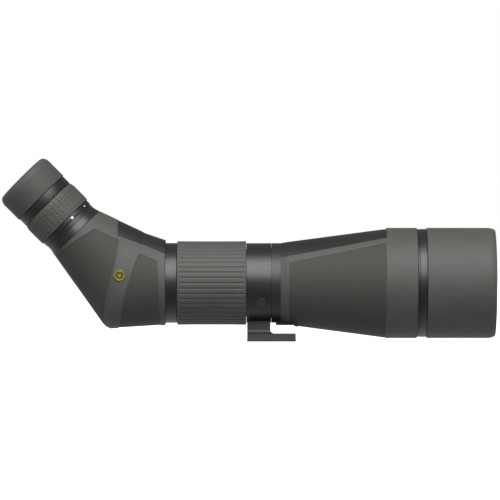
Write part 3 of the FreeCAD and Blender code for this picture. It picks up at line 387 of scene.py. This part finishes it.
def badge_gold(name, centre):
    """Gold plate with a plain dark ring round its middle."""
    graph = Graph(name)
    away = graph.add("ShaderNodeVectorMath", operation="DISTANCE")
    graph.join(graph.place, away.inputs[0])
    away.inputs[1].default_value = centre * MM
    across = graph.spread(away.outputs["Value"], 0, 1, 0.0, 0.006)
    ramp = graph.add("ShaderNodeValToRGB")
    gold, dark = (0.22, 0.184, 0.036, 1), (0.02, 0.017, 0.006, 1)
    stops = ((0.0, gold), (0.30, gold), (0.34, dark), (0.52, dark), (0.56, gold), (1.0, gold))
    ramp.color_ramp.elements[0].position, ramp.color_ramp.elements[0].color = stops[0]
    ramp.color_ramp.elements[1].position, ramp.color_ramp.elements[1].color = stops[-1]
    for position, colour in stops[1:-1]:
        ramp.color_ramp.elements.new(position).color = colour
    graph.join(across, ramp.inputs["Fac"])
    grain = graph.noise(1600, 2)
    base = graph.mix(graph.spread(grain, 0, 0.3), ramp.outputs["Color"], (0.32, 0.28, 0.09))
    graph.join(base, graph.shader.inputs["Base Color"])
    graph.join(graph.spread(grain, 0.3, 0.42), graph.shader.inputs["Roughness"])
    graph.bumped((grain, 0.12, 0.0001))
    graph.set(Metallic=0.35)
    return graph.material


RUBBER = (0.062, 0.061, 0.055)
BLACK = (0.011, 0.011, 0.0115)
BADGE_CENTRE = Vector((-134.2, -36.4, AXIS_HEIGHT + 7.2))

materials = {
    # The armour and grip rubbers paint shade into their recesses, darkening them to 0.86 and 0.8 of the
    # rubber's colour.
    "armour_rubber": rubber("armour_rubber", RUBBER, 0.62, 0.86),
    "grip_rubber": rubber("grip_rubber", RUBBER, 0.62, 0.8),
    "eyecup_rubber": rubber("eyecup_rubber", shade(RUBBER, 0.95), 0.65),
    "black_metal": black_metal("black_metal", BLACK, 0.38, 1800),
    # Painted light: the foot's black metal is drawn 2.2 times lighter than the rest to brighten a foot the
    # lamp leaves dim. Its rougher, coarser grain is real.
    "foot_metal": black_metal("foot_metal", shade(BLACK, 2.2), 0.5, 900),
    "inner_metal": inner_black("inner_metal"),
    "screw_steel": bare_metal("screw_steel", (0.16, 0.16, 0.165), 0.38),
    "pin_steel": bare_metal("pin_steel", (0.55, 0.55, 0.56), 0.24),
    "knob_plastic": plastic("knob_plastic", (0.02, 0.02, 0.02), 0.5),
    "shoe_plastic": plastic("shoe_plastic", (0.07, 0.07, 0.07), 0.55),
    "seal_rubber": plastic("seal_rubber", (0.012, 0.012, 0.012), 0.45),
    "badge_gold": badge_gold("badge_gold", BADGE_CENTRE),
    "mark_white": plastic("mark_white", (0.82, 0.82, 0.8), 0.45),
    "lens_glass": glass("lens_glass"),
}
casting = black_metal("casting_black", BLACK, 0.45, 1200)

CAST_NODES = ("barrel_shell", "prism_housing")
for word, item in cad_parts.items():
    finish = item.data.materials[0].name.split(".")[0]
    chosen = casting if word in CAST_NODES else materials[finish]
    for k in range(len(item.data.materials)):
        item.data.materials[k] = chosen


# Barrel armour: a rounded skin with a finely textured panel, open over the casting's two bare strips

THICKNESS = 1.6
EDGE = 0.45
GRID_STEP = 0.55
BARREL_ENDS = (8.0, 129.2)
TAPER_X, TAPER_R = (8.0, 14.3, 100.0, 129.2), (35.4, 37.7, 49.0, 49.0)
STRIP_END, UNDER_END, UNDER_HALF = 102.0, 20.0, 9.0
PANEL = (14.8, 101.6)
PANEL_TOP_X, PANEL_TOP_Z = (14.5, 100.0), (18.1, 36.6)
PANEL_DEPTH, PANEL_CORNER, RIM_WIDTH = 0.5, 2.5, 1.0
CELL_X, CELL_TURNS, WEAVE = 2.2, 120, 0.05
UNDER_RIM = 3.5


def taper(x):
    """The barrel's outside radius, with its two corners eased."""
    return (np.interp(x - 1.5, TAPER_X, TAPER_R) + 2 * np.interp(x, TAPER_X, TAPER_R)
            + np.interp(x + 1.5, TAPER_X, TAPER_R)) / 4


def strip_height(x):
    return np.interp(x, (7.0, STRIP_END), (22.8, 40.5))


def rim(distance):
    """A recess that starts at distance 0, behind a slightly raised lip."""
    lip = 0.16 * np.exp(-(((distance + 0.9) / 0.7) ** 2))
    return lip - PANEL_DEPTH * smooth(distance / RIM_WIDTH)


def make_barrel_armour():
    first = spaced(BARREL_ENDS[0], UNDER_END, GRID_STEP)
    second = spaced(UNDER_END, STRIP_END, GRID_STEP, fine_start=False)
    third = spaced(STRIP_END, BARREL_ENDS[1], 1.3)
    x = np.array(first + second[1:] + third[1:])
    under_row, strip_row = len(first) - 1, len(first) + len(second) - 2
    radius = taper(x)
    strip_edge = QUARTER - np.arcsin(strip_height(x) / radius)
    under_edge = math.pi - np.arcsin(UNDER_HALF / taper(np.minimum(x, UNDER_END)))

    def fractions(count):
        """Places from 0 to 1, closer at both ends."""
        return np.array(spaced(0, count * GRID_STEP, GRID_STEP)) / (count * GRID_STEP)

    side, under, top = fractions(160)[:-1], fractions(26)[:-1], fractions(60)[:-1]
    s, u = strip_edge[:, None], under_edge[:, None]
    down = np.concatenate([s + (u - s) * side, u + 2 * (math.pi - u) * under, TURN - u + (u - s) * side,
                           TURN - s + 2 * s * top], axis=1)
    near, low = len(side), len(under)
    top_start = near + low + near
    n_rows, n_columns = down.shape

    def filled(i, j):
        j %= n_columns
        if j >= top_start:
            return i >= strip_row
        return not (near <= j < near + low and i < under_row)

    x, r = x[:, None] + 0 * down, radius[:, None] + 0 * down
    away = np.minimum(down % TURN, TURN - down % TURN)
    panel_edge = QUARTER - np.arcsin(np.interp(x, PANEL_TOP_X, PANEL_TOP_Z) / r)
    from_strip, from_keel = r * (away - s), r * (math.pi - away) - UNDER_HALF
    inside = both_within([
        x - PANEL[0], PANEL[1] - x, r * (away - panel_edge),
        np.maximum(x - UNDER_END, from_keel) - UNDER_RIM,
    ], PANEL_CORNER)
    weave = WEAVE * (np.cos(TURN * x / CELL_X) + np.cos(CELL_TURNS * away))
    border = np.minimum.reduce([
        x - BARREL_ENDS[0], BARREL_ENDS[1] - x,
        np.hypot(np.clip(x - STRIP_END, 0, None), np.clip(from_strip, 0, None)),
        np.hypot(np.clip(x - UNDER_END, 0, None), np.clip(from_keel, 0, None)),
    ])
    height = rim(inside) + weave * smooth((inside - RIM_WIDTH) / 0.8) - edge_round(border, EDGE)
    outer = BARREL.points(x, r + height, QUARTER - down)
    inner = BARREL.points(x, r - THICKNESS, QUARTER - down)
    rows = kept_every(n_rows, 12, (under_row, strip_row, n_rows - 1))
    columns = kept_every(n_columns, 8, (near, near + low, top_start))
    skin("barrel_armour_skin", outer, inner, rows, columns, filled, "armour_rubber", "scope_body",
         ("barrel_armour",), smooth(inside / RIM_WIDTH))


# Rear armour: ruled through four leaning ovals, with two recessed panels a side and a bare wedge on top

# x, height over the barrel's axis, half length, half width, lean in degrees
OVALS = np.array([
    (-94.0, 0.45, 37.95, 36.4, 0.0), (-127.7, 2.0, 45.35, 36.3, 20.0),
    (-132.55, 4.75, 45.1, 36.0, 22.3), (-172.71, 43.85, 28.3, 28.3, 45.0),
])
WEDGE_X, WEDGE_Z = (-136.0, -109.1, -93.0), (42.4, 32.8, 25.6)
REAR_PANELS = (
    ((-240.0, -6.0), (-156.6, 48.1), (-153.1, 47.6), (-133.7, 38.4), (-137.6, 19.8), (-143.4, -1.3),
     (-146.9, -20.7), (-147.8, -33.1), (-148.6, -70.0), (-240.0, -70.0)),
    ((-117.1, 27.5), (-101.1, 19.9), (-97.9, -32.2), (-96.4, -70.0), (-144.6, -70.0), (-135.4, -34.8),
     (-129.3, -10.1), (-121.5, 15.4)),
)
REAR_CORNER = 3.0
STEADY_FROM = math.radians(64)
# Roughly, the lengths of the first and last bands, the radius beside the wedge, and the way round the skin
FRONT_BAND, BACK_BAND, WEDGE_RADIUS, GIRTH = 33, 56, 38, 250


def oval_points(oval, turn):
    """Points on an oval, by the angle from its top towards the near side."""
    x, height, length, width, lean = oval
    lean = math.radians(lean)
    up = np.array((math.sin(lean), 0, math.cos(lean)))
    centre = np.array((x, 0, AXIS_HEIGHT + height))
    return centre + np.multiply.outer(np.cos(turn) * length, up) + np.multiply.outer(
        np.sin(turn) * width, np.array((0, -1.0, 0)))


def border_distance(x, z, outline, corner):
    """Distance in from a closed outline, drawn with rounded corners, for points seen from the side."""
    corners = np.array(outline)
    area = sum(a[0] * b[1] - b[0] * a[1] for a, b in zip(corners, np.roll(corners, -1, axis=0)))
    if area < 0:
        corners = corners[::-1]
    edges = np.roll(corners, -1, axis=0) - corners
    lengths = np.hypot(edges[:, 0], edges[:, 1])
    inward = np.stack([-edges[:, 1], edges[:, 0]], axis=1) / lengths[:, None]
    moved = []
    for k in range(len(corners)):
        a, b = inward[k - 1], inward[k]
        moved.append(corners[k] + corner * (a + b) / (1 + a @ b))
    nearest, inside = None, None
    for a, b in zip(moved, moved[1:] + moved[:1]):
        edge = b - a
        t = np.clip(((x - a[0]) * edge[0] + (z - a[1]) * edge[1]) / (edge @ edge), 0, 1)
        distance = np.hypot(x - a[0] - t * edge[0], z - a[1] - t * edge[1])
        crosses = ((a[1] > z) != (b[1] > z)) & (x < (b[0] - a[0]) * (z - a[1]) / (b[1] - a[1] + 1e-9) + a[0])
        nearest = distance if nearest is None else np.minimum(nearest, distance)
        inside = crosses if inside is None else inside ^ crosses
    return np.where(inside, nearest, -nearest) + corner


def make_rear_armour():
    stations = np.concatenate([
        np.linspace(0, 1, 52)[:-1], np.linspace(1, 2, 9)[:-1], np.linspace(2, 3, 92),
    ])
    fine = np.array(FINE_STEPS[:-1])
    stations = np.unique(np.round(np.concatenate([stations, fine / FRONT_BAND, 3 - fine / BACK_BAND]), 5))
    columns = 401

    def ruled(station, turn):
        k = min(int(station), len(OVALS) - 2)
        share = station - k
        return oval_points(OVALS[k], turn) * (1 - share) + oval_points(OVALS[k + 1], turn) * share

    def surface(station, turn):
        """The ruled form, its two mitres eased."""
        if station < 0.1 or station > 2.95:
            return ruled(station, turn)
        reach_down, reach_up = (0.06 if station < 1 else 0.04), (0.04 if station > 2 else 0.06)
        below, above = ruled(station - reach_down, turn), ruled(station + reach_up, turn)
        return (below + 2 * ruled(station, turn) + above) / 4

    search = np.linspace(0, QUARTER, 900)
    outer, inner, marks, openings = [], [], [], []
    even = np.array(spaced(0, GIRTH, GIRTH / (columns - 9))) / GIRTH * TURN

    def eased(turn, opening):
        """Angles drawn together beside the wedge, and steady further down."""
        return np.where(turn < STEADY_FROM, opening + turn * (1 - opening / STEADY_FROM), turn)

    for station in stations:
        ring = surface(station, search)
        over = ring[:, 2] - AXIS_HEIGHT - np.interp(ring[:, 0], WEDGE_X, WEDGE_Z)
        over = np.where(ring[:, 0] < WEDGE_X[0], -1, over)
        opening = search[np.argmax(over < 0)]
        openings.append(opening)
        turn = np.where(even < math.pi, eased(even, opening), TURN - eased(TURN - even, opening))
        points = surface(station, turn)
        step = 1e-3
        tangent = surface(station, turn + step) - surface(station, turn - step)
        ahead, behind = min(station + step, 3), max(station - step, 0)
        along = ruled(ahead, turn) - ruled(behind, turn)
        normal = np.cross(tangent, along)
        normal /= np.linalg.norm(normal, axis=1)[:, None]
        if normal[len(normal) // 4] @ np.array((0, -1.0, 0)) < 0:
            normal = -normal
        x, z = points[:, 0], points[:, 2] - AXIS_HEIGHT
        inside = np.maximum(*(border_distance(x, z, outline, REAR_CORNER) for outline in REAR_PANELS))
        end_gap = min(station * FRONT_BAND, (3 - station) * BACK_BAND)
        border = np.full(len(turn), end_gap)
        if opening > 0:
            around = np.minimum(turn, TURN - turn) - opening
            border = np.minimum(border, around * WEDGE_RADIUS)
        height = rim(inside) - edge_round(np.clip(border, 0, None), EDGE)
        outer.append(points + normal * height[:, None])
        inner.append(points - normal * THICKNESS)
        marks.append(smooth(inside / RIM_WIDTH))
    outer, inner, marks = np.array(outer), np.array(inner), np.array(marks)
    n_rows, n_columns = outer.shape[:2]
    open_rows = [i for i, opening in enumerate(openings) if opening > 0]

    def filled(i, j):
        return 0 <= i < n_rows - 1 and j % n_columns < n_columns - 1

    rows = kept_every(n_rows, 6, (open_rows[-1] + 1, n_rows - 1))
    skin("rear_armour_skin", outer, inner, rows, kept_every(n_columns - 1, 8, ()) + [n_columns - 1], filled,
         "armour_rubber", "scope_body", ("rear_armour",), marks)


# Grips, hood, eyecup and badge

RIBS, RIB_DEPTH = 48, 0.45
FOCUS = (-83.6, -22.4)
ZOOM = (76.2, 97.5)
DIMPLE_X, DIMPLES, DIMPLE_RADIUS, DIMPLE_DEPTH = 3.2, 38, 0.95, 0.45


def focus_relief(along, angle, radius):
    """Broad rounded ribs that run out just before each end."""
    place = np.abs((angle * RIBS / TURN) % 1 - 0.5)
    inset = np.minimum(along - FOCUS[0], FOCUS[1] - along)
    groove = -RIB_DEPTH * smooth((place - 0.28) / 0.2) * smooth((inset - 0.9) / 1.4)
    return np.where(radius > 36, groove, 0)


def zoom_relief(along, angle, radius):
    """Rows of round dimples."""
    place = (along - (ZOOM[0] + ZOOM[1]) / 2) / DIMPLE_X
    row = np.clip(np.round(place - 0.5) + 0.5, -2.5, 2.5)
    turn = angle * DIMPLES / TURN
    across = (turn - np.round(turn)) * TURN / DIMPLES * radius
    away = np.hypot((place - row) * DIMPLE_X, across)
    return np.where(radius > 27, -DIMPLE_DEPTH * smooth(1.15 - away / DIMPLE_RADIUS), 0)


def outside_profile(stations, radius_at, bore):
    """A sleeve's closed outline: its bore, and its outside through many stations with rounded ends."""
    start, end = stations[0], stations[-1]
    outside = [(x, radius_at(x) - float(edge_round(min(x - start, end - x), 0.5))) for x in stations]
    return [(start, bore)] + outside + [(end, bore)]


def make_grips():
    middle, half = sum(FOCUS) / 2, (FOCUS[1] - FOCUS[0]) / 2
    ends = (0.9, 1.4, 1.9, 2.4)
    stations = sorted(spaced(*FOCUS, 2.2) + [FOCUS[0] + d for d in ends] + [FOCUS[1] - d for d in ends])
    waist = outside_profile(stations, lambda x: 37.0 + 0.2 * ((x - middle) / half) ** 2, 34.2)
    lathe("focus_grip_ribbed", BARREL, waist, RIBS * 12, "grip_rubber", "focus_control", ("focus_grip",),
          focus_relief, 50)
    shoulders = (ZOOM[0], ZOOM[0] + 4, ZOOM[1] - 4, ZOOM[1])
    crown = outside_profile(
        spaced(*ZOOM, 0.4), lambda x: float(np.interp(x, shoulders, (27.8, 28.1, 28.05, 27.1))), 25.2)
    lathe("zoom_grip_dimpled", EYEPIECE, crown, DIMPLES * 11, "grip_rubber", "zoom_control", ("zoom_grip",),
          zoom_relief, 50)


# Start and end, outside radius, and the outer corner's length and depth
HOOD, HOOD_RADIUS, HOOD_CORNER = (137.8, 198.7), 49.0, (5.5, 2.0)
CUP, CUP_RADIUS, CUP_CORNER = (106.1, 131.0), 27.85, (7.0, 4.6)


def make_hood_armour():
    """A sleeve whose front corner is halfway between a bevel and a round."""
    (start, end), (length, depth) = HOOD, HOOD_CORNER
    corner = [
        (end - length + length * (math.sin(t) + t / QUARTER) / 2,
         HOOD_RADIUS - depth + depth * (math.cos(t) + 1 - t / QUARTER) / 2, 0)
        for t in np.linspace(0, QUARTER, 8)
    ]
    outline = [(start, 47.4, 0), (start, HOOD_RADIUS, 0.5)] + corner
    outline += [(end, 46.6, 0.15), (197.5, 46.6, 0), (197.5, 47.4, 0)]
    lathe("hood_armour_skin", BARREL, rounded(outline), 256, "armour_rubber", "sunshade", ("hood_armour",))


def make_eyecup():
    """A soft cup with a broad elliptical outer corner."""
    (start, end), (length, depth) = CUP, CUP_CORNER
    corner = [
        (end - length + length * math.sin(t), CUP_RADIUS - depth + depth * math.cos(t), 0)
        for t in np.linspace(0, QUARTER, 12)
    ]
    outline = [(start, 25.4, 0), (start, CUP_RADIUS, 0.7)] + corner
    outline += [(end, 21.0, 1.2), (127.5, 18.5, 0.4), (127.5, 25.4, 0)]
    lathe("eyecup_soft", EYEPIECE, rounded(outline), 192, "eyecup_rubber", "eyecup", ("eyecup_rubber",))


def make_badge():
    side = Axis(BADGE_CENTRE.to_tuple(), (0, -1, 0), (0, 0, 1))
    lathe("badge_ringed", side, rounded([
        (-0.6, 0.0, 0), (-0.6, 5.15, 0), (0.35, 5.15, 0.25), (0.35, 4.5, 0.1), (0.1, 4.2, 0.1),
        (0.1, 3.3, 0.1), (0.28, 3.0, 0.1), (0.28, 1.9, 0.1), (0.1, 1.7, 0.1), (0.15, 0.0, 0),
    ]), 72, "badge_gold", "scope_body", ("badge",))


def make_metal_rings():
    """The bare black rings, with the small rounds and grooves that turning leaves."""
    lathe("neck_ring_turned", BARREL, rounded([
        (-94.0, 30.0, 0), (-94.0, 35.5, 0.2), (-83.8, 35.5, 0.4), (-83.8, 30.0, 0),
    ]), 256, "black_metal", "scope_body", ("neck_ring",))
    lathe("front_trim_turned", BARREL, rounded([
        (129.4, 45.9, 0), (129.4, 48.0, 0.3), (130.5, 48.0, 0.1), (130.8, 47.6, 0.1), (131.3, 47.6, 0.1),
        (131.6, 48.0, 0.1), (137.4, 48.0, 0.3), (137.4, 45.9, 0),
    ]), 256, "black_metal", "scope_body", ("front_trim_ring",))
    lathe("eyepiece_mount_turned", EYEPIECE, rounded([
        (50.0, 17.5, 0), (50.0, 23.5, 0), (61.25, 23.5, 0), (61.25, 28.1, 0.3), (64.0, 27.4, 0.5),
        (67.5, 26.5, 2.0), (72.0, 26.5, 0.25), (72.0, 21.0, 0), (56.5, 21.0, 0), (56.5, 17.5, 0),
    ]), 224, "black_metal", "scope_body", ("eyepiece_mount",))
    lathe("index_ring_turned", EYEPIECE, rounded([
        (72.0, 21.0, 0), (72.0, 27.0, 0.25), (76.0, 27.0, 0.35), (76.0, 21.0, 0),
    ]), 224, "black_metal", "scope_body", ("index_ring",))
    lathe("upper_ring_turned", EYEPIECE, rounded([
        (97.8, 17.5, 0), (97.8, 27.1, 0.35), (105.9, 27.1, 0.35), (105.9, 21.5, 0), (124.2, 21.5, 0.2),
        (124.2, 17.5, 0),
    ]), 224, "black_metal", "scope_body", ("upper_ring",))


make_barrel_armour()
make_rear_armour()
make_metal_rings()
make_grips()
make_hood_armour()
make_eyecup()
make_badge()


# Floor, light and camera


def make_floor():
    mesh = bpy.data.meshes.new("floor")
    half = 8.0
    corners = [(-half, -half, 0), (half, -half, 0), (half, half, 0), (-half, half, 0)]
    mesh.from_pydata(corners, [], [(0, 1, 2, 3)])
    floor = bpy.data.objects.new("floor", mesh)
    bpy.context.scene.collection.objects.link(floor)
    floor.location.z = cad_box[0].z - 0.0005
    graph = Graph("floor")
    cloud = graph.noise(3, 2)
    tone = graph.mix(graph.spread(cloud, 0, 1), (0.48, 0.48, 0.48), (0.52, 0.52, 0.52))
    graph.join(tone, graph.shader.inputs["Base Color"])
    graph.set(Roughness=0.9, Emission_Color=(1, 1, 1, 1), Emission_Strength=0.88)
    mesh.materials.append(graph.material)
    floor.visible_diffuse = False
    floor.visible_glossy = False


# The direction in which the surroundings are brightest: low and behind
LOW_BACK = (0, 0.62, -0.78)


def make_light():
    world = bpy.data.worlds.new("studio")
    bpy.context.scene.world = world
    world.use_nodes = True
    nodes, links = world.node_tree.nodes, world.node_tree.links
    lit = nodes["Background"]
    lit.inputs["Color"].default_value = (1, 1, 1, 1)
    place = nodes.new("ShaderNodeTexCoord")
    toward = nodes.new("ShaderNodeVectorMath")
    toward.operation = "DOT_PRODUCT"
    toward.inputs[1].default_value = LOW_BACK
    strength = nodes.new("ShaderNodeMapRange")
    for key, number in (("From Min", 0.2), ("From Max", 0.95), ("To Min", 0.2), ("To Max", 0.75)):
        strength.inputs[key].default_value = number
    links.new(place.outputs["Generated"], toward.inputs[0])
    links.new(toward.outputs["Value"], strength.inputs["Value"])
    links.new(strength.outputs["Result"], lit.inputs["Strength"])
    seen = nodes.new("ShaderNodeBackground")
    seen.inputs["Color"].default_value = (1, 1, 1, 1)
    seen.inputs["Strength"].default_value = 1.0
    path, mix = nodes.new("ShaderNodeLightPath"), nodes.new("ShaderNodeMixShader")
    links.new(path.outputs["Is Camera Ray"], mix.inputs["Fac"])
    links.new(lit.outputs["Background"], mix.inputs[1])
    links.new(seen.outputs["Background"], mix.inputs[2])
    links.new(mix.outputs["Shader"], nodes["World Output"].inputs["Surface"])
    key = bpy.data.lights.new("key", "SUN")
    key.energy = 4.2
    key.angle = math.radians(58)
    lamp = bpy.data.objects.new("key", key)
    lamp.rotation_euler = (math.radians(44), 0, 0)
    bpy.context.scene.collection.objects.link(lamp)


def make_camera():
    camera = bpy.data.objects.new("camera", bpy.data.cameras.new("camera"))
    camera.data.sensor_width = 36.0
    camera.data.lens = 364.4
    camera.data.clip_end = 100.0
    camera.location = Vector((-19.0, -4500.0, 81.0)) * MM
    camera.rotation_euler = (math.radians(90), 0, 0)
    bpy.context.scene.collection.objects.link(camera)
    bpy.context.scene.camera = camera


make_floor()
make_light()
make_camera()
bpy.context.scene.view_settings.view_transform = "Standard"
